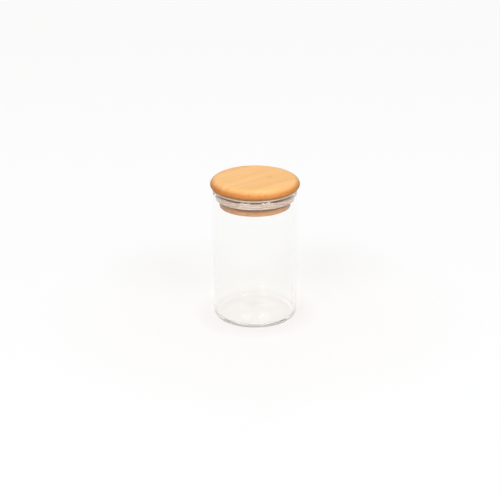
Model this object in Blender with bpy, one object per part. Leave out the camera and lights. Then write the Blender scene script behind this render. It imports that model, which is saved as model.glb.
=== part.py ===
"""A small glass storage jar for spices: a straight-walled glass jar, a turned bamboo lid that pushes into its
mouth, and a silicone seal ring that sits in a groove round the lid's plug.

Every piece is a turned form, so each is an outline in radius and height, swept once round the vertical axis.
Metres, +Z up. The jar stands on z = 0 with its axis on the origin.
"""

import math

import bmesh
import bpy

# Glass jar
JAR_DIAMETER = 0.0650
JAR_HEIGHT = 0.1047
JAR_WALL = 0.0018
BASE_THICKNESS = 0.0032
HEEL_ROUND = 0.0030
FLOOR_FILLET = 0.0024
STANDING_RING_WIDTH = 0.0045
PUSH_UP_HEIGHT = 0.0007

# Bamboo lid: a cap, and below it a plug with a land, a groove for the seal and a foot
CAP_DIAMETER = 0.0688
CAP_THICKNESS = 0.0078
CAP_WIDEST_HEIGHT = 0.0026
CAP_TOP_ROUND = 0.0070
CAP_UNDER_ROUND = 0.0030
PLUG_SIDE_GAP = 0.0034
LAND_HEIGHT = 0.0009
GROOVE_HEIGHT = 0.0073
GROOVE_DEPTH = 0.0021
FOOT_HEIGHT = 0.0061
FOOT_ROUND = 0.0010
EDGE_BREAK = 0.0004

# Silicone seal: a band with three broad ribs that face the glass, and a thin lip above them
RIB_COUNT = 3
RIB_GAP = 0.0003
RIB_DEPTH = 0.0006
RIB_CORNER = 0.0003
LIP_HEIGHT = 0.0006
LIP_GAP = 0.0008
LIP_DEPTH = 0.0014
SEAL_CORNER = 0.0004

# Clearance between pieces that touch
TOUCH_GAP = 0.0003

# Number of flat sides that stand for a full turn, and for a rounded corner
TURN_SIDES = 96
CORNER_STEPS = 5

# Places that the pieces share
JAR_RADIUS = JAR_DIAMETER / 2
BORE_RADIUS = JAR_RADIUS - JAR_WALL
CAP_RADIUS = CAP_DIAMETER / 2
PLUG_RADIUS = BORE_RADIUS - PLUG_SIDE_GAP
GROOVE_RADIUS = PLUG_RADIUS - GROOVE_DEPTH
CAP_UNDERSIDE = JAR_HEIGHT + TOUCH_GAP
GROOVE_TOP = CAP_UNDERSIDE - LAND_HEIGHT
GROOVE_BOTTOM = GROOVE_TOP - GROOVE_HEIGHT
PLUG_BOTTOM = GROOVE_BOTTOM - FOOT_HEIGHT


def clear_scene():
    for obj in list(bpy.data.objects):
        bpy.data.objects.remove(obj, do_unlink=True)


def round_corner(centre, width, height, start, end, steps=CORNER_STEPS):
    """Points of an elliptical arc about centre, from start to end in degrees, both ends included."""
    points = []
    for step in range(steps + 1):
        angle = math.radians(start + (end - start) * step / steps)
        points.append((centre[0] + width * math.cos(angle), centre[1] + height * math.sin(angle)))
    return points


def material(name, colour, roughness, transmission=0.0):
    made = bpy.data.materials.new(name)
    made.use_nodes = True
    shader = made.node_tree.nodes["Principled BSDF"]
    shader.inputs["Base Color"].default_value = (*colour, 1.0)
    shader.inputs["Roughness"].default_value = roughness
    shader.inputs["Metallic"].default_value = 0.0
    shader.inputs["Transmission Weight"].default_value = transmission
    made.diffuse_color = (*colour, 1.0)
    return made


def turned(name, outline, closed, finish):
    """An object made by sweeping an outline of (radius, height) points once round the Z axis.

    An open outline starts and ends on the axis. A closed one makes a ring.
    """
    mesh = bpy.data.meshes.new(name)
    work = bmesh.new()
    corners = [work.verts.new((radius, 0.0, height)) for radius, height in outline]
    edges = [work.edges.new(pair) for pair in zip(corners, corners[1:])]
    if closed:
        edges.append(work.edges.new((corners[-1], corners[0])))
    bmesh.ops.spin(
        work,
        geom=corners + edges,
        cent=(0.0, 0.0, 0.0),
        axis=(0.0, 0.0, 1.0),
        angle=2 * math.pi,
        steps=TURN_SIDES,
        use_merge=True,
    )
    bmesh.ops.remove_doubles(work, verts=work.verts, dist=1e-6)
    bmesh.ops.recalc_face_normals(work, faces=work.faces)
    work.to_mesh(mesh)
    work.free()
    mesh.shade_smooth()
    mesh.set_sharp_from_angle(angle=math.radians(35))
    made = bpy.data.objects.new(name, mesh)
    made.data.materials.append(finish)
    bpy.context.scene.collection.objects.link(made)
    return made


def jar_outline():
    """Underside, heel, outer wall, fire-polished rim, bore and floor, from the axis back to the axis."""
    heel = min(HEEL_ROUND, JAR_WALL + BASE_THICKNESS)
    ring_outside = JAR_RADIUS - heel
    ring_inside = ring_outside - STANDING_RING_WIDTH
    push_up = []
    for step in range(CORNER_STEPS + 1):
        share = step / CORNER_STEPS
        height = PUSH_UP_HEIGHT * (1 + math.cos(math.pi * share)) / 2
        push_up.append((ring_inside * share, height))
    rim_radius = JAR_WALL / 2
    rim_centre = (BORE_RADIUS + rim_radius, JAR_HEIGHT - rim_radius)
    floor_edge = (BORE_RADIUS - FLOOR_FILLET, BASE_THICKNESS + FLOOR_FILLET)
    outline = push_up
    outline += round_corner((ring_outside, heel), heel, heel, -90, 0)
    outline += round_corner(rim_centre, rim_radius, rim_radius, 0, 180, steps=6)
    outline += round_corner(floor_edge, FLOOR_FILLET, FLOOR_FILLET, 0, -90)
    outline.append((0.0, BASE_THICKNESS))
    return outline


def lid_outline():
    """Foot of the plug, groove, land, underside of the cap, its rounded edge and its flat top."""
    cap_top = CAP_UNDERSIDE + CAP_THICKNESS
    widest = CAP_UNDERSIDE + CAP_WIDEST_HEIGHT
    foot_corner = (PLUG_RADIUS - FOOT_ROUND, PLUG_BOTTOM + FOOT_ROUND)
    foot_lip = (PLUG_RADIUS - EDGE_BREAK, GROOVE_BOTTOM - EDGE_BREAK)
    land_lip = (PLUG_RADIUS - EDGE_BREAK, GROOVE_TOP + EDGE_BREAK)
    outline = [(0.0, PLUG_BOTTOM)]
    outline += round_corner(foot_corner, FOOT_ROUND, FOOT_ROUND, -90, 0, steps=4)
    outline += round_corner(foot_lip, EDGE_BREAK, EDGE_BREAK, 0, 90, steps=2)
    outline.append((GROOVE_RADIUS, GROOVE_BOTTOM))
    outline.append((GROOVE_RADIUS, GROOVE_TOP))
    outline += round_corner(land_lip, EDGE_BREAK, EDGE_BREAK, -90, 0, steps=2)
    outline.append((PLUG_RADIUS, CAP_UNDERSIDE))
    outline += round_corner(
        (CAP_RADIUS - CAP_UNDER_ROUND, widest), CAP_UNDER_ROUND, CAP_WIDEST_HEIGHT, -90, 0
    )
    outline += round_corner(
        (CAP_RADIUS - CAP_TOP_ROUND, widest), CAP_TOP_ROUND, cap_top - widest, 0, 90, steps=8
    )[1:]
    outline.append((0.0, cap_top))
    return outline


def seal_rib(face, foot, top):
    """The outer side of one rib: a broken corner below, the face, and a broken corner above."""
    corner = RIB_CORNER
    below = round_corner((face - corner, foot + corner), corner, corner, -90, 0, steps=1)
    above = round_corner((face - corner, top - corner), corner, corner, 0, 90, steps=1)
    return below + above


def seal_outline():
    """The band's inner side against the groove floor, then the ribs from the lowest up, then the lip."""
    inside = GROOVE_RADIUS + TOUCH_GAP
    face = BORE_RADIUS - TOUCH_GAP
    valley = face - RIB_DEPTH
    under_lip = face - LIP_DEPTH
    bottom = GROOVE_BOTTOM + TOUCH_GAP
    top = GROOVE_TOP - TOUCH_GAP
    ribs_top = top - LIP_HEIGHT - LIP_GAP
    rib_step = (ribs_top - bottom + RIB_GAP) / RIB_COUNT
    corner = SEAL_CORNER
    outline = round_corner((inside + corner, top - corner), corner, corner, 90, 180, steps=1)
    outline += round_corner((inside + corner, bottom + corner), corner, corner, 180, 270, steps=1)
    for rib in range(RIB_COUNT):
        foot = bottom + rib_step * rib
        if rib > 0:
            outline += [(valley, foot - RIB_GAP), (valley, foot)]
        outline += seal_rib(face, foot, foot + rib_step - RIB_GAP)
    outline += [(under_lip, ribs_top), (under_lip, top - LIP_HEIGHT)]
    outline += seal_rib(face, top - LIP_HEIGHT, top)
    return outline


def build():
    clear_scene()
    glass = material("clear_glass", (0.93, 0.95, 0.94), 0.02, transmission=1.0)
    bamboo = material("oiled_bamboo", (0.78, 0.47, 0.20), 0.45)
    silicone = material("translucent_silicone", (0.80, 0.72, 0.64), 0.40)
    turned("glass_jar", jar_outline(), closed=False, finish=glass)
    turned("bamboo_lid", lid_outline(), closed=False, finish=bamboo)
    turned("silicone_seal", seal_outline(), closed=True, finish=silicone)


build()
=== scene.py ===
"""The looks of a glass spice jar with a turned bamboo lid and a silicone seal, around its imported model.

Metres, +Z up. The jar stands on z = 0 with its axis on the origin.
"""

import math

import bmesh
import bpy
from mathutils import Matrix, Vector, noise


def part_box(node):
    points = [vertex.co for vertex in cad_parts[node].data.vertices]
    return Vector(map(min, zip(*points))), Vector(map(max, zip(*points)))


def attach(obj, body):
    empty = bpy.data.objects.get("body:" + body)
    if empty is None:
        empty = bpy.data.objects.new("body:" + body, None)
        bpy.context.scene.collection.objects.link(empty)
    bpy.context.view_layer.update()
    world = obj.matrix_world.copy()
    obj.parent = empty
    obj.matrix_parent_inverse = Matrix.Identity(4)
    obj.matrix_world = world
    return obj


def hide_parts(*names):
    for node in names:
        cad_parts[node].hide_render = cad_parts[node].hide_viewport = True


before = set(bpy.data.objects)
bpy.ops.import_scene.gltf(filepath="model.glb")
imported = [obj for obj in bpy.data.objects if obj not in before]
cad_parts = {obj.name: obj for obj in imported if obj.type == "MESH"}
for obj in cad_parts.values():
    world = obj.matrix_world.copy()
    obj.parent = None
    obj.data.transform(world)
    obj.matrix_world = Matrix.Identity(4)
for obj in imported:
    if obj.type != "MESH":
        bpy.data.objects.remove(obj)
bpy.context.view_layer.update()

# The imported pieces' boxes, which set every shared size
jar_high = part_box("glass_jar")[1]
lid_low, lid_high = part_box("bamboo_lid")
seal_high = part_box("silicone_seal")[1]

# Camera: fitted to the photograph's outlines. Elevation and distance are from a point on the jar's axis
CAMERA_ELEVATION = math.radians(21.91)
CAMERA_DISTANCE = 1.120
CAMERA_CENTRE = Vector((0.0, 0.0, 0.05))
CAMERA_LENS_MM = 103.3
CAMERA_SENSOR_MM = 36.0
CAMERA_ROLL = math.radians(-0.22)
CAMERA_TARGET = Vector((-0.0040, 0.0, 0.0530))

# Glass: its shape
WALL = 0.0018
BASE_THICKNESS = 0.0032
HEEL_ROUND = 0.0040
FLOOR_FILLET = 0.0024
RIM_ROUND = 0.0006
STANDING_RING_WIDTH = 0.0045
PUSH_UP_HEIGHT = 0.0007
BORE_WAVINESS = 0.00003
BORE_WAVES_ACROSS = 22
BORE_WAVES_UP = 9

# Glass: its finish
GLASS_TINT = (0.994, 0.994, 0.988)
GLASS_IOR = 1.47
ABSORPTION_TINT = (0.10, 0.16, 0.0)
ABSORPTION_PER_METRE = 4.5
SHADOW_TINT = (0.87, 0.855, 0.83)
FILM_PER_METRE = 45.0
FILM_ROUGHNESS = 0.012
RIPPLES_PER_METRE = 28.0
# The rim's warm pale tint, blended over the glass, is a painted reflection of the bamboo lid
RIM_PAINTED_REFLECTION = (1.0, 0.85, 0.70)
RIM_PAINTED_REFLECTION_SHARE = 0.52
RIM_PAINTED_REFLECTION_HEIGHT = RIM_ROUND * 1.5
RIM_PAINTED_REFLECTION_FADE = 0.0004

# Bamboo lid: its shape
CAP_WIDEST_HEIGHT = 0.0026
CAP_TOP_ROUND = 0.0070
CAP_UNDER_ROUND = 0.0042
PLUG_SIDE_GAP = 0.0034
LAND_HEIGHT = 0.0009
GROOVE_HEIGHT = 0.0073
GROOVE_DEPTH = 0.0021
FOOT_ROUND = 0.0010
EDGE_BREAK = 0.0004

# Bamboo's grain, seen from above: the fibres' angle from +X, the glued strips and the fibres
GRAIN_ANGLE = math.radians(41)
STRIP_WIDTH = 0.0062
STRIP_SHIFT = 0.5
FIBRE_STRETCH = 0.035
FIBRES_PER_METRE = 2400.0
STREAKS_PER_METRE = 520.0
BANDS_PER_METRE = 130.0
CLOUDS_PER_METRE = 55.0

# Bundles of vessels: their sizes are shares of their spacing, and grow across each strip
BUNDLES_PER_METRE = 920.0
BUNDLE_SMALLEST = 0.16
BUNDLE_GROWTH = 0.24
BUNDLE_SOFTNESS = 0.09

# Joints of the cane: each mark's strip, and its place along the fibres
NODE_MARKS = ((-1, 0.0091), (4, 0.0120))
NODE_LINE = (0.0001, 0.0007)
NODE_HALO = (0.0004, 0.0032)
NODE_WAVER = 0.0012
NODE_WAVERS_PER_METRE = 320.0

# Bamboo's colours, and how strongly they show
BAMBOO_DEEP = (0.72, 0.375, 0.125)
BAMBOO_PALE = (0.90, 0.545, 0.235)
BAMBOO_HONEY = (0.86, 0.45, 0.16)
BAMBOO_END_GRAIN = (0.45, 0.20, 0.065)
BAMBOO_BUNDLE = (0.30, 0.105, 0.030)
# Painted shade on the cap's steep sides
BAMBOO_PAINTED_SIDE_SHADE = (0.76, 0.53, 0.34)
# Painted shade on the plug's foot inside the jar
BAMBOO_PAINTED_FOOT_SHADE = (0.53, 0.445, 0.435)
# Painted shadow on the foot just below the seal
BAMBOO_PAINTED_SEAL_SHADOW = (0.60, 0.57, 0.55)
CLOUD_DEPTH = 0.20
END_GRAIN_DEPTH = 0.25
END_GRAIN_TURN = (0.20, 0.95)
BUNDLE_DEPTH = 0.10
BUNDLE_DEPTH_AT_ENDS = 0.66
GLUE_DEPTH = 0.14
NODE_DEPTH = 0.22
PAINTED_SIDE_SHADE_SLOPE = (0.50, 0.90)

# Painted shade on the cap's lower edge, up and down from its widest height, and a painted shadow in a band
# below the groove
PAINTED_UNDER_SHADE_DEPTH = 0.30
PAINTED_UNDER_SHADE_BELOW = 0.0018
PAINTED_UNDER_SHADE_ABOVE = 0.0006
SEAL_SHADOW_END = 0.0036
SEAL_SHADOW_FULL = 0.0017

# Silicone seal: its shape. Its lip and top rib press a little into the glass, and the other ribs stand clear
RIB_COUNT = 3
RIB_GAP = 0.0002
RIB_DEPTH = 0.0004
RIB_CORNER = 0.0003
RIB_TAPER = 0.0003
LIP_HEIGHT = 0.0004
NOTCH_HEIGHT = 0.0015
NOTCH_SLOPE = 33
SEAL_CORNER = 0.0004
SEAL_PRESS = 0.00005

# Silicone seal: its finish
SILICONE_DEEP = (0.52, 0.41, 0.345)
SILICONE_PALE = (0.555, 0.45, 0.385)
SILICONE_SHADE = (0.78, 0.75, 0.72)
SILICONE_SHADE_HEIGHT = 0.0045
# Painted shade in the notch under the lip, and how it fades at the notch's ends
SILICONE_PAINTED_NOTCH_SHADE = (0.18, 0.07, 0.02)
NOTCH_SHADE_FADE = 0.0002
LIP_NOTCH_SHADE_FADE = (0.0001, 0.0002)
MOULD_GRAIN_PER_METRE = 1800.0
HAZE_PER_METRE = 120.0

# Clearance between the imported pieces, and the cap's height over the rim here
TOUCH_GAP = 0.0003
REST_GAP = 0.00005

# Flat sides of a full turn, and steps along the outlines' rounds and straights
SIDES = 288
PUSH_UP_STEPS = 16
HEEL_STEPS = 12
WALL_STEPS = 24
RIM_STEPS = 10
FLOOR_STEPS = 8
FOOT_STEPS = 8
EDGE_STEPS = 5
CAP_UNDER_STEPS = 14
CAP_ROUND_STEPS = 24
CAP_TOP_STEPS = 10
RIB_STEPS = 5
SEAL_CORNER_STEPS = 6
SHARP_ANGLE = math.radians(50)

jar_radius = jar_high.x
bore_radius = jar_radius - WALL
plug_radius = bore_radius - PLUG_SIDE_GAP
cap_radius = lid_high.x
cap_underside = jar_high.z + REST_GAP
cap_widest = jar_high.z + TOUCH_GAP + CAP_WIDEST_HEIGHT
groove_top = jar_high.z + TOUCH_GAP - LAND_HEIGHT
groove_bottom = groove_top - GROOVE_HEIGHT
groove_radius = plug_radius - GROOVE_DEPTH


# Mesh making


def rounded(centre, width, height, start, end, steps):
    """Points of an elliptical arc about centre, from start to end in degrees, both ends included."""
    points = []
    for step in range(steps + 1):
        angle = math.radians(start + (end - start) * step / steps)
        points.append((centre[0] + width * math.cos(angle), centre[1] + height * math.sin(angle)))
    return points


def straight(start, end, steps):
    """Points between two corners of an outline, without the corners themselves."""
    points = []
    for step in range(1, steps):
        share = step / steps
        points.append((start[0] + (end[0] - start[0]) * share, start[1] + (end[1] - start[1]) * share))
    return points


def as_object(name, work, finish):
    """Turns the mesh being worked on into an object of the scene, in one material."""
    mesh = bpy.data.meshes.new(name)
    work.to_mesh(mesh)
    work.free()
    mesh.materials.append(finish)
    made = bpy.data.objects.new(name, mesh)
    bpy.context.scene.collection.objects.link(made)
    return made


def turned(name, outline, closed, finish):
    """A smooth object swept once round the Z axis from an outline of (radius, height) points.

    An open outline starts and ends on the axis. A closed one makes a ring.
    """
    work = bmesh.new()
    corners = [work.verts.new((radius, 0.0, height)) for radius, height in outline]
    edges = [work.edges.new(pair) for pair in zip(corners, corners[1:])]
    if closed:
        edges.append(work.edges.new((corners[-1], corners[0])))
    bmesh.ops.spin(
        work,
        geom=corners + edges,
        cent=(0.0, 0.0, 0.0),
        axis=(0.0, 0.0, 1.0),
        angle=2 * math.pi,
        steps=SIDES,
        use_merge=True,
    )
    bmesh.ops.remove_doubles(work, verts=work.verts, dist=1e-7)
    bmesh.ops.recalc_face_normals(work, faces=work.faces)
    made = as_object(name, work, finish)
    made.data.shade_smooth()
    return made


# Shader making


class Socket:
    """One output of a node. Python's arithmetic on it adds Math nodes."""

    def __init__(self, tree, output):
        self.tree = tree
        self.output = output

    def math(self, operation, *values):
        sockets = dict(enumerate(values))
        return node(self.tree, "ShaderNodeMath", {"operation": operation}, sockets)

    def __add__(self, other):
        return self.math("ADD", self, other)

    def __radd__(self, other):
        return self.math("ADD", other, self)

    def __sub__(self, other):
        return self.math("SUBTRACT", self, other)

    def __rsub__(self, other):
        return self.math("SUBTRACT", other, self)

    def __mul__(self, other):
        return self.math("MULTIPLY", self, other)

    def __rmul__(self, other):
        return self.math("MULTIPLY", other, self)

    def __truediv__(self, other):
        return self.math("DIVIDE", self, other)

    def __pow__(self, other):
        return self.math("POWER", self, other)

    def __gt__(self, other):
        return self.math("GREATER_THAN", self, other)

    def __lt__(self, other):
        return self.math("LESS_THAN", self, other)

    def __abs__(self):
        return self.math("ABSOLUTE", self)

    def floor(self):
        return self.math("FLOOR", self)

    def fract(self):
        return self.math("FRACT", self)

    def clamped(self):
        return self.math("MINIMUM", self.math("MAXIMUM", self, 0.0), 1.0)

    def between(self, low, high):
        """0 up to low, 1 from high, and a straight rise between them."""
        return ((self - low) / (high - low)).clamped()


def node(tree, kind, settings=None, sockets=None, output=0):
    """Adds a node: its settings first, then the values and links of its sockets. Gives one output."""
    made = tree.nodes.new(kind)
    for key, value in (settings or {}).items():
        setattr(made, key, value)
    for key, value in (sockets or {}).items():
        if isinstance(value, Socket):
            tree.links.new(value.output, made.inputs[key])
        else:
            made.inputs[key].default_value = value
    return Socket(tree, made.outputs[output]) if len(made.outputs) else made


def new_material(name, preview):
    """An empty material, with its colour in the viewport, and its node tree."""
    made = bpy.data.materials.new(name)
    made.use_nodes = True
    made.node_tree.nodes.clear()
    made.diffuse_color = (*preview, 1.0)
    return made, made.node_tree


def mixed(tree, factor, first, second, blend="MIX"):
    """A colour between two colours, or with another blend the first one changed by the second.

    The Mix node's inputs 6 and 7 are its two colours, and output 2 is the mixed one.
    """
    sockets = {0: factor}
    sockets[6] = first if isinstance(first, Socket) else (*first, 1.0)
    sockets[7] = second if isinstance(second, Socket) else (*second, 1.0)
    return node(tree, "ShaderNodeMix", {"data_type": "RGBA", "blend_type": blend}, sockets, output=2)


def noise_field(tree, where, scale, detail=2.0, roughness=0.5):
    """Smooth noise from 0 to 1, with scale spots to the metre."""
    return node(
        tree,
        "ShaderNodeTexNoise",
        {"noise_dimensions": "3D"},
        {"Vector": where, "Scale": scale, "Detail": detail, "Roughness": roughness},
    )


def finish_surface(tree, surface, volume=None):
    """Ends a material with its surface and, for glass, its inside."""
    sockets = {"Surface": surface}
    if volume is not None:
        sockets["Volume"] = volume
    node(tree, "ShaderNodeOutputMaterial", None, sockets)


def object_place(tree):
    """The point on the piece, in metres from the origin, which turns and lifts with the piece."""
    return node(tree, "ShaderNodeTexCoord", output="Object")


def parts(tree, vector):
    """The three numbers of a vector."""
    return [node(tree, "ShaderNodeSeparateXYZ", None, {"Vector": vector}, output=axis) for axis in "XYZ"]


def clear_glass():
    """Nearly colourless, with slow ripples from drawing, a faint film of handling, and a warm painted
    reflection of the bamboo lid on its rim.
    """
    made, tree = new_material("clear_glass", (0.93, 0.95, 0.95))
    where = object_place(tree)
    film = noise_field(tree, where, FILM_PER_METRE, detail=3.0)
    ripple = noise_field(tree, where, RIPPLES_PER_METRE, detail=1.0)
    bump = node(tree, "ShaderNodeBump", None, {"Strength": 0.05, "Distance": 0.0004, "Height": ripple})
    glass = node(
        tree,
        "ShaderNodeBsdfPrincipled",
        None,
        {
            "Base Color": (*GLASS_TINT, 1.0),
            "Roughness": FILM_ROUGHNESS * film.between(0.45, 0.75),
            "IOR": GLASS_IOR,
            "Transmission Weight": 1.0,
            "Normal": bump,
        },
    )
    # A warm matt shader over the rim: a painted reflection of the bamboo lid
    haze = node(
        tree,
        "ShaderNodeBsdfPrincipled",
        None,
        {"Base Color": (*RIM_PAINTED_REFLECTION, 1.0), "Roughness": 0.25, "IOR": GLASS_IOR},
    )
    painted_reflection_start = jar_high.z - RIM_PAINTED_REFLECTION_HEIGHT
    on_rim = parts(tree, where)[2].between(painted_reflection_start, painted_reflection_start + RIM_PAINTED_REFLECTION_FADE)
    glass = node(tree, "ShaderNodeMixShader", None, {0: on_rim * RIM_PAINTED_REFLECTION_SHARE, 1: glass, 2: haze})
    passing = node(tree, "ShaderNodeBsdfTransparent", None, {"Color": (*SHADOW_TINT, 1.0)})
    shadow_ray = node(tree, "ShaderNodeLightPath", output="Is Shadow Ray")
    surface = node(tree, "ShaderNodeMixShader", None, {0: shadow_ray, 1: glass, 2: passing})
    depth = node(
        tree,
        "ShaderNodeVolumeAbsorption",
        None,
        {"Color": (*ABSORPTION_TINT, 1.0), "Density": ABSORPTION_PER_METRE},
    )
    finish_surface(tree, surface, depth)
    return made


def node_mark(strip_number, along, waver):
    """1 on the brown scar of a cane's joint: a short mark across one strip, with a paler halo."""
    mark = None
    for strip, place in NODE_MARKS:
        on_strip = abs(strip_number - strip) < 0.5
        away = abs(along - place + waver * NODE_WAVER - NODE_WAVER / 2)
        line = 1.0 - away.between(*NODE_LINE)
        halo = 1.0 - away.between(*NODE_HALO)
        here = on_strip * (line * 0.6 + halo * 0.4)
        mark = here if mark is None else mark + here
    return mark.clamped()


def bamboo():
    """Turned from glued strips of cane: fibres all one way, dark bundles of vessels, and open end grain."""
    made, tree = new_material("bamboo", (0.86, 0.58, 0.30))
    where = object_place(tree)
    grain = node(tree, "ShaderNodeMapping", None, {"Vector": where, "Rotation": (0.0, 0.0, -GRAIN_ANGLE)})
    along, across, up = parts(tree, grain)

    strip = across / STRIP_WIDTH + STRIP_SHIFT
    strip_number = strip.floor()
    strip_place = strip.fract()
    strip_tone = node(tree, "ShaderNodeTexWhiteNoise", {"noise_dimensions": "1D"}, {"W": strip_number})
    glue_line = (abs(strip_place - 0.5) * 2.0).between(0.95, 1.0)

    drawn_out = node(
        tree,
        "ShaderNodeCombineXYZ",
        None,
        {"X": along * FIBRE_STRETCH + strip_tone * 3.0, "Y": across, "Z": up},
    )
    fibres = noise_field(tree, drawn_out, FIBRES_PER_METRE, detail=3.0, roughness=0.6)
    streaks = noise_field(tree, drawn_out, STREAKS_PER_METRE)
    bands = noise_field(tree, drawn_out, BANDS_PER_METRE, detail=1.0)
    clouds = noise_field(tree, grain, CLOUDS_PER_METRE)
    cells = node(
        tree,
        "ShaderNodeTexVoronoi",
        {"voronoi_dimensions": "3D", "feature": "F1"},
        {"Vector": drawn_out, "Scale": BUNDLES_PER_METRE, "Randomness": 0.9},
    )
    bundle_size = BUNDLE_SMALLEST + BUNDLE_GROWTH * strip_place
    bundle = ((bundle_size - cells) / BUNDLE_SOFTNESS).clamped()

    normal = node(tree, "ShaderNodeTexCoord", output="Normal")
    fibre_way = (math.cos(GRAIN_ANGLE), math.sin(GRAIN_ANGLE), 0.0)
    facing = node(
        tree,
        "ShaderNodeVectorMath",
        {"operation": "DOT_PRODUCT"},
        {0: normal, 1: fibre_way},
        output="Value",
    )
    end_open = abs(facing).between(*END_GRAIN_TURN)

    tone = streaks * 0.32 + fibres * 0.24 + bands * 0.28 + strip_tone * 0.12
    wood = mixed(tree, tone.between(0.22, 0.72), BAMBOO_DEEP, BAMBOO_PALE)
    wood = mixed(tree, clouds.between(0.35, 0.75) * CLOUD_DEPTH, wood, BAMBOO_HONEY)
    wood = mixed(tree, end_open * END_GRAIN_DEPTH, wood, BAMBOO_END_GRAIN)
    bundle_depth = BUNDLE_DEPTH + BUNDLE_DEPTH_AT_ENDS * end_open
    wood = mixed(tree, bundle * bundle_depth, wood, BAMBOO_BUNDLE)
    wood = mixed(tree, glue_line * GLUE_DEPTH, wood, BAMBOO_BUNDLE)
    mark = node_mark(strip_number, along, noise_field(tree, grain, NODE_WAVERS_PER_METRE))
    wood = mixed(tree, mark * NODE_DEPTH, wood, BAMBOO_BUNDLE)

    # Painted shade on steep sides: the cap's sides darker and deeper orange, the plug's foot darker
    painted_side_shade = 1.0 - abs(parts(tree, normal)[2]).between(*PAINTED_SIDE_SHADE_SLOPE)
    on_foot = up < groove_bottom + EDGE_BREAK
    on_cap = up > cap_underside - EDGE_BREAK
    wood = mixed(tree, painted_side_shade * on_cap, wood, BAMBOO_PAINTED_SIDE_SHADE, "MULTIPLY")
    # Painted shade on the plug's foot
    wood = mixed(tree, painted_side_shade * on_foot, wood, BAMBOO_PAINTED_FOOT_SHADE, "MULTIPLY")
    # Painted shade on the end grain below the cap's widest line
    painted_under_shade = on_cap * (1.0 - up.between(cap_widest - PAINTED_UNDER_SHADE_BELOW, cap_widest + PAINTED_UNDER_SHADE_ABOVE))
    wood = mixed(tree, painted_under_shade * end_open * PAINTED_UNDER_SHADE_DEPTH, wood, BAMBOO_END_GRAIN)
    # Painted shadow on the foot just below the seal
    painted_seal_shadow = on_foot * up.between(groove_bottom - SEAL_SHADOW_END, groove_bottom - SEAL_SHADOW_FULL)
    wood = mixed(tree, painted_seal_shadow, wood, BAMBOO_PAINTED_SEAL_SHADOW, "MULTIPLY")

    relief = fibres * 0.5 - bundle * (0.3 + 0.9 * end_open) - glue_line * 0.3 - mark * 0.5
    bump = node(tree, "ShaderNodeBump", None, {"Strength": 0.35, "Distance": 0.00008, "Height": relief})
    wood_shader = node(
        tree,
        "ShaderNodeBsdfPrincipled",
        None,
        {
            "Base Color": wood,
            "Roughness": 0.42 + 0.16 * fibres + 0.12 * end_open,
            "IOR": 1.45,
            "Specular IOR Level": 0.3,
            "Normal": bump,
        },
    )
    finish_surface(tree, wood_shader)
    return made


def silicone():
    """Warm milky rubber that light soaks into, with a faint mould grain, painted shade towards its foot and
    a dark painted shade in the notch under its lip.
    """
    made, tree = new_material("silicone", (0.86, 0.80, 0.74))
    where = object_place(tree)
    grain = noise_field(tree, where, MOULD_GRAIN_PER_METRE)
    haze = noise_field(tree, where, HAZE_PER_METRE)
    colour = mixed(tree, haze.between(0.3, 0.7), SILICONE_DEEP, SILICONE_PALE)
    up = parts(tree, where)[2]
    near_foot = 1.0 - up.between(groove_bottom, groove_bottom + SILICONE_SHADE_HEIGHT)
    colour = mixed(tree, near_foot, colour, SILICONE_SHADE, "MULTIPLY")
    # Painted shade in the notch under the lip: the colour darkened there
    lip_foot = groove_top - TOUCH_GAP - LIP_HEIGHT
    notch_foot = lip_foot - NOTCH_HEIGHT - RIB_CORNER / 2
    above_ribs = up.between(notch_foot - NOTCH_SHADE_FADE, notch_foot + NOTCH_SHADE_FADE)
    on_lip = up.between(lip_foot + LIP_NOTCH_SHADE_FADE[0], lip_foot + LIP_NOTCH_SHADE_FADE[1])
    in_notch = above_ribs - on_lip
    colour = mixed(tree, in_notch, colour, SILICONE_PAINTED_NOTCH_SHADE, "MULTIPLY")
    bump = node(tree, "ShaderNodeBump", None, {"Strength": 0.15, "Distance": 0.00003, "Height": grain})
    rubber = node(
        tree,
        "ShaderNodeBsdfPrincipled",
        None,
        {
            "Base Color": colour,
            "Roughness": (0.30 + 0.10 * grain) * (1.0 - 0.65 * in_notch),
            "IOR": 1.41,
            "Specular IOR Level": 0.65,
            "Subsurface Weight": 0.8,
            "Subsurface Radius": (0.0036, 0.0026, 0.0020),
            "Subsurface Scale": 1.0,
            "Normal": bump,
        },
    )
    finish_surface(tree, rubber)
    return made


# The pieces


def glass_outline():
    """Underside, heel, outer wall, fire-polished rim, bore and floor, from the axis back to the axis."""
    ring_outside = jar_radius - HEEL_ROUND
    ring_inside = ring_outside - STANDING_RING_WIDTH
    outline = []
    for step in range(PUSH_UP_STEPS + 1):
        share = step / PUSH_UP_STEPS
        outline.append((ring_inside * share, PUSH_UP_HEIGHT * (1 + math.cos(math.pi * share)) / 2))
    rim_outside = (jar_radius - RIM_ROUND, jar_high.z - RIM_ROUND)
    rim_inside = (bore_radius + RIM_ROUND, jar_high.z - RIM_ROUND)
    floor_edge = (bore_radius - FLOOR_FILLET, BASE_THICKNESS + FLOOR_FILLET)
    outline += rounded((ring_outside, HEEL_ROUND), HEEL_ROUND, HEEL_ROUND, -90, 0, HEEL_STEPS)
    outline += straight((jar_radius, HEEL_ROUND), (jar_radius, rim_outside[1]), WALL_STEPS)
    outline += rounded(rim_outside, RIM_ROUND, RIM_ROUND, 0, 90, RIM_STEPS)
    outline += rounded(rim_inside, RIM_ROUND, RIM_ROUND, 90, 180, RIM_STEPS)
    outline += straight((bore_radius, rim_inside[1]), (bore_radius, floor_edge[1]), WALL_STEPS)
    outline += rounded(floor_edge, FLOOR_FILLET, FLOOR_FILLET, 0, -90, HEEL_STEPS)
    outline += straight((floor_edge[0], BASE_THICKNESS), (0.0, BASE_THICKNESS), FLOOR_STEPS)
    outline.append((0.0, BASE_THICKNESS))
    return outline


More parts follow.
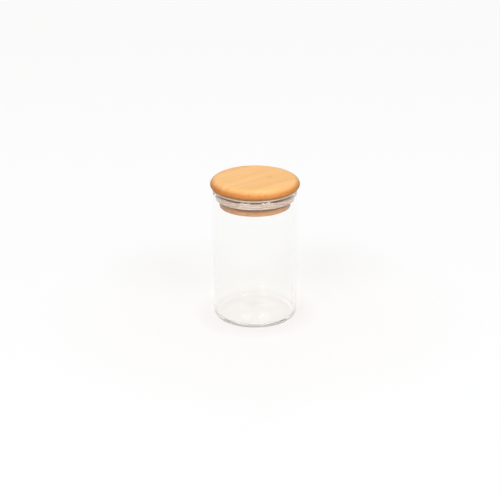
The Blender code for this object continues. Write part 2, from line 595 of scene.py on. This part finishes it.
def make_jar(finish):
    """The turned jar, with a slow waviness in its bore between the floor and the plug."""
    made = turned("drawn_glass_jar", glass_outline(), False, finish)
    for vertex in made.data.vertices:
        x, y, height = vertex.co
        radius = math.hypot(x, y)
        if radius < jar_radius - WALL / 2 and BASE_THICKNESS + FLOOR_FILLET < height < lid_low.z:
            place = Vector((x * BORE_WAVES_ACROSS, y * BORE_WAVES_ACROSS, height * BORE_WAVES_UP))
            grow = 1 + BORE_WAVINESS * noise.noise(place) / radius
            vertex.co.x *= grow
            vertex.co.y *= grow
    return made


def lid_outline():
    """Foot of the plug, groove, land, underside of the cap, its rounded edge and its flat top."""
    foot = lid_low.z
    edge = EDGE_BREAK
    outline = [(0.0, foot), (plug_radius * 0.5, foot)]
    foot_corner = (plug_radius - FOOT_ROUND, foot + FOOT_ROUND)
    outline += rounded(foot_corner, FOOT_ROUND, FOOT_ROUND, -90, 0, FOOT_STEPS)
    outline += rounded((plug_radius - edge, groove_bottom - edge), edge, edge, 0, 90, EDGE_STEPS)
    outline += [(groove_radius, groove_bottom), (groove_radius, groove_top)]
    outline += rounded((plug_radius - edge, groove_top + edge), edge, edge, -90, 0, EDGE_STEPS)
    outline.append((plug_radius, cap_underside))
    under_centre = (cap_radius - CAP_UNDER_ROUND, cap_widest)
    outline += rounded(under_centre, CAP_UNDER_ROUND, cap_widest - cap_underside, -90, 0, CAP_UNDER_STEPS)
    top_centre = (cap_radius - CAP_TOP_ROUND, cap_widest)
    outline += rounded(top_centre, CAP_TOP_ROUND, lid_high.z - cap_widest, 0, 90, CAP_ROUND_STEPS)[1:]
    outline += straight((cap_radius - CAP_TOP_ROUND, lid_high.z), (0.0, lid_high.z), CAP_TOP_STEPS)
    outline.append((0.0, lid_high.z))
    return outline


def seal_rib(face, foot, top, slope=90):
    """One rib's outer side: a rounded corner below, the face, and above it a corner of slope degrees."""
    corner = min(RIB_CORNER, (top - foot) / 2)
    below = rounded((face - corner, foot + corner), corner, corner, -90, 0, RIB_STEPS)
    above = rounded((face - corner, top - corner), corner, corner, 0, slope, RIB_STEPS)
    return below + above


def seal_outline():
    """The inner side in the plug's groove, the ribs from the lowest up, the notch, and a thin lip."""
    inside = groove_radius + TOUCH_GAP
    face = bore_radius + SEAL_PRESS
    corner = SEAL_CORNER
    bottom = groove_bottom + TOUCH_GAP
    top = groove_top - TOUCH_GAP
    ribs_top = top - LIP_HEIGHT - NOTCH_HEIGHT
    rib_step = (ribs_top - bottom + RIB_GAP) / RIB_COUNT
    outline = rounded((inside + corner, top - corner), corner, corner, 90, 180, SEAL_CORNER_STEPS)
    outline += rounded((inside + corner, bottom + corner), corner, corner, 180, 270, SEAL_CORNER_STEPS)
    for rib in range(RIB_COUNT):
        foot = bottom + rib_step * rib
        below_top = RIB_COUNT - 1 - rib
        rib_face = seal_high.x - RIB_TAPER * (below_top - 1) if below_top else face
        valley = rib_face - RIB_DEPTH
        if rib > 0:
            outline += [(valley, foot - RIB_GAP), (valley, foot)]
        slope = 90 if below_top else NOTCH_SLOPE
        outline += seal_rib(rib_face, foot, foot + rib_step - RIB_GAP, slope)
    flank_radius, flank_height = outline[-1]
    notch = flank_radius - (top - LIP_HEIGHT - flank_height) * math.tan(math.radians(NOTCH_SLOPE))
    outline.append((notch, top - LIP_HEIGHT))
    outline += seal_rib(face, top - LIP_HEIGHT, top)
    return outline


jar = make_jar(clear_glass())
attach(jar, "jar")
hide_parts("glass_jar")

lid = turned("turned_bamboo_lid", lid_outline(), False, bamboo())
lid.data.set_sharp_from_angle(angle=SHARP_ANGLE)
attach(lid, "lid")
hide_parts("bamboo_lid")

seal = turned("ribbed_silicone_seal", seal_outline(), True, silicone())
seal.data.set_sharp_from_angle(angle=SHARP_ANGLE)
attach(seal, "seal")
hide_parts("silicone_seal")


# The studio

FLOOR_RADIUS = 4.0
FLOOR_SIDES = 96
FLOOR_PAINT = (0.60, 0.62, 0.64)
FLOOR_BOUNCE = (0.36, 0.36, 0.35)
FLOOR_GLOW = (1.065, 1.060, 1.055)
# Painted warm shade around the jar
FLOOR_PAINTED_NEAR_SHADE = (1.045, 1.020, 0.995)
# Painted shadow under the jar
FLOOR_PAINTED_UNDER_SHADOW = (0.957, 0.908, 0.888)
FLOOR_GLOW_FAR = (1.125, 1.125, 1.125)
FLOOR_GLOW_SHARE = 0.78

# Radii between which one glow turns into the next: a painted warm shade around the jar and a painted shadow
# under it. The ends of the painted shadow under the jar are counted from the jar's side
UNDER_SHADOW_ENDS = (-0.005, 0.018)
NEAR_SHADE_ENDS = (0.05, 0.18)
FAR_STARTS = (1.4, 3.6)

DOME_AT_HORIZON = 0.10
DOME_OVERHEAD = 0.45

# Lamps: azimuth 0 is in front of the jar and positive to the right, in degrees
LAMP_DISTANCE = 3.0
LAMP_WIDTH = 1.3
LAMP_HEIGHT = 0.9
LAMP_ELEVATION = 40
LAMP_TARGET = Vector((0.0, 0.0, 0.06))
LEFT_LAMP_AZIMUTH = -31
LEFT_LAMP_POWER = 62.0
RIGHT_LAMP_AZIMUTH = 37
RIGHT_LAMP_POWER = 56.0

# The most times that light passes on from wall to wall
GLASS_BOUNCES = 64


def seen_directly(tree):
    """1 for the camera and for what glass and gloss show, 0 for the light that falls on matt surfaces."""
    camera = node(tree, "ShaderNodeLightPath", output="Is Camera Ray")
    gloss = node(tree, "ShaderNodeLightPath", output="Is Glossy Ray")
    through = node(tree, "ShaderNodeLightPath", output="Is Transmission Ray")
    scattered = node(tree, "ShaderNodeLightPath", output="Diffuse Depth")
    return (camera + gloss + through - scattered).clamped()


def floor_finish():
    """White paint that takes the jar's shadow, under a glow that brings it to the backdrop's white, with a
    painted warm shade around the jar and a painted shadow under it.
    """
    made, tree = new_material("floor_white", (0.95, 0.95, 0.95))
    seen = seen_directly(tree)
    paint = node(
        tree,
        "ShaderNodeBsdfPrincipled",
        None,
        {"Base Color": mixed(tree, seen, FLOOR_BOUNCE, FLOOR_PAINT), "Roughness": 0.32, "IOR": 1.45},
    )
    x, y, _ = parts(tree, object_place(tree))
    radius = (x * x + y * y) ** 0.5
    # The glow darker and warmer near the jar and under it: painted shade and painted shadow
    tint = mixed(tree, radius.between(*NEAR_SHADE_ENDS), FLOOR_PAINTED_NEAR_SHADE, FLOOR_GLOW)
    clear_of_jar = radius.between(jar_radius + UNDER_SHADOW_ENDS[0], jar_radius + UNDER_SHADOW_ENDS[1])
    tint = mixed(tree, clear_of_jar, FLOOR_PAINTED_UNDER_SHADOW, tint)
    tint = mixed(tree, radius.between(*FAR_STARTS), tint, FLOOR_GLOW_FAR)
    glow = node(tree, "ShaderNodeEmission", None, {"Color": tint, "Strength": 1.0})
    surface = node(tree, "ShaderNodeMixShader", None, {0: seen * FLOOR_GLOW_SHARE, 1: paint, 2: glow})
    finish_surface(tree, surface)
    return made


def make_floor():
    work = bmesh.new()
    bmesh.ops.create_circle(work, cap_ends=True, radius=FLOOR_RADIUS, segments=FLOOR_SIDES)
    made = as_object("studio_floor", work, floor_finish())


def make_world():
    """A white room whose light on the jar comes mostly from overhead."""
    world = bpy.data.worlds.new("studio_room")
    bpy.context.scene.world = world
    world.use_nodes = True
    tree = world.node_tree
    tree.nodes.clear()
    way = node(tree, "ShaderNodeTexCoord", output="Generated")
    rise = parts(tree, way)[2].clamped()
    dome = DOME_AT_HORIZON + (DOME_OVERHEAD - DOME_AT_HORIZON) * rise
    seen = seen_directly(tree)
    strength = seen + (1.0 - seen) * dome
    light = node(tree, "ShaderNodeBackground", None, {"Color": (1.0, 1.0, 1.0, 1.0), "Strength": strength})
    node(tree, "ShaderNodeOutputWorld", None, {"Surface": light})


def soft_box(name, azimuth, power):
    """An area lamp that faces the jar."""
    turn = math.radians(azimuth)
    rise = math.radians(LAMP_ELEVATION)
    way = Vector((math.sin(turn) * math.cos(rise), -math.cos(turn) * math.cos(rise), math.sin(rise)))
    data = bpy.data.lights.new(name, "AREA")
    data.shape = "RECTANGLE"
    data.size = LAMP_WIDTH
    data.size_y = LAMP_HEIGHT
    data.energy = power
    made = bpy.data.objects.new(name, data)
    made.location = LAMP_TARGET + way * LAMP_DISTANCE
    made.rotation_euler = way.to_track_quat("Z", "Y").to_euler()
    bpy.context.scene.collection.objects.link(made)


def make_camera():
    """The camera at the photograph's angle, turned towards its target and rolled a little."""
    data = bpy.data.cameras.new("photo_camera")
    data.lens = CAMERA_LENS_MM
    data.sensor_width = CAMERA_SENSOR_MM
    back = Vector((0.0, -math.cos(CAMERA_ELEVATION), math.sin(CAMERA_ELEVATION)))
    made = bpy.data.objects.new("photo_camera", data)
    made.location = CAMERA_CENTRE + back * CAMERA_DISTANCE
    looking = (made.location - CAMERA_TARGET).to_track_quat("Z", "Y").to_matrix()
    made.rotation_euler = (looking @ Matrix.Rotation(CAMERA_ROLL, 3, "Z")).to_euler()
    bpy.context.scene.collection.objects.link(made)
    bpy.context.scene.camera = made


make_floor()
make_world()
soft_box("left_soft_box", LEFT_LAMP_AZIMUTH, LEFT_LAMP_POWER)
soft_box("right_soft_box", RIGHT_LAMP_AZIMUTH, RIGHT_LAMP_POWER)
make_camera()
bpy.context.scene.view_settings.view_transform = "Standard"
for kind in ("max_bounces", "glossy_bounces", "transmission_bounces"):
    setattr(bpy.context.scene.cycles, kind, GLASS_BOUNCES)
